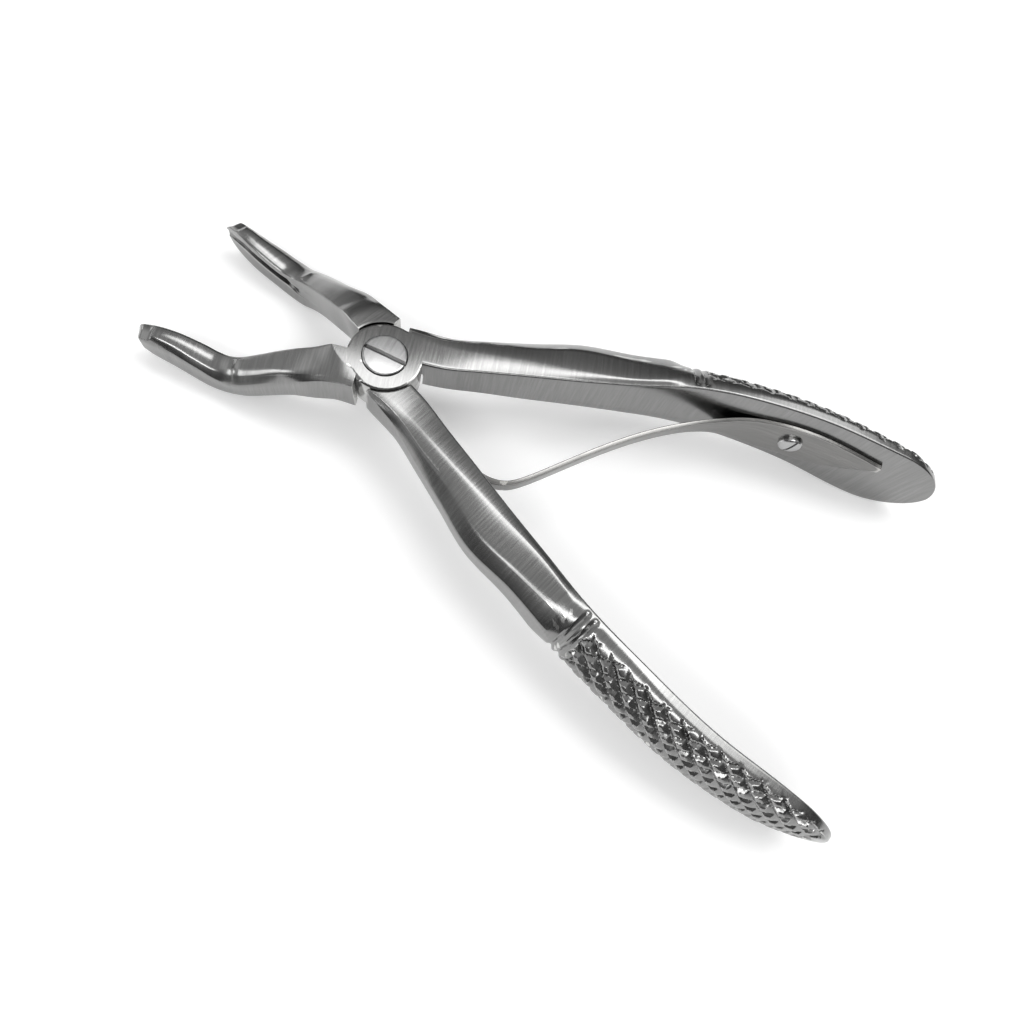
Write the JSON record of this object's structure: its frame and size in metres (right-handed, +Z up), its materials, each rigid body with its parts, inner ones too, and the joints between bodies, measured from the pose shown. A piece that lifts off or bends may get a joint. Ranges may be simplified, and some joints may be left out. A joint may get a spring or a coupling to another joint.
{
  "type": "extraction forceps",
  "caption": "Spring-handled dental extraction forceps: two stepped beaks, a lapped screw joint and checkered palm handles held open by a leaf spring.",
  "frame": {"origin": "on the pivot axis, at the flat underside of the joint", "axes": "+X from the joint towards the handles, along the line midway between the two halves; +Y towards the upper half's handle; +Z up through the joint, towards the screw head, so the beaks step down towards -Z"},
  "size_m": [0.1178, 0.0606, 0.0179],
  "materials": {
    "instrument_steel": "satin, fine brushed grain, ground edges a little brighter",
    "screw_steel": "turned, fine concentric grain, slotted head",
    "spring_steel": "smooth strip, polished along its length"
  },
  "bodies": {
    "lower_arm": {"lower_half": "instrument_steel", "pivot_screw": "screw_steel"},
    "upper_arm": {"upper_half": "instrument_steel", "leaf_spring": "spring_steel", "leaf_screw": "screw_steel"}
  },
  "joints": [
    {"name": "squeeze", "type": "hinge", "parent": "lower_arm", "child": "upper_arm", "pos_m": [0, 0, 0.003], "axis": [0, 0, -1], "range_deg": [-12, 32.5], "stiffness_Nm_per_rad": 0.5, "deforming": ["leaf_spring"]}
  ]
}
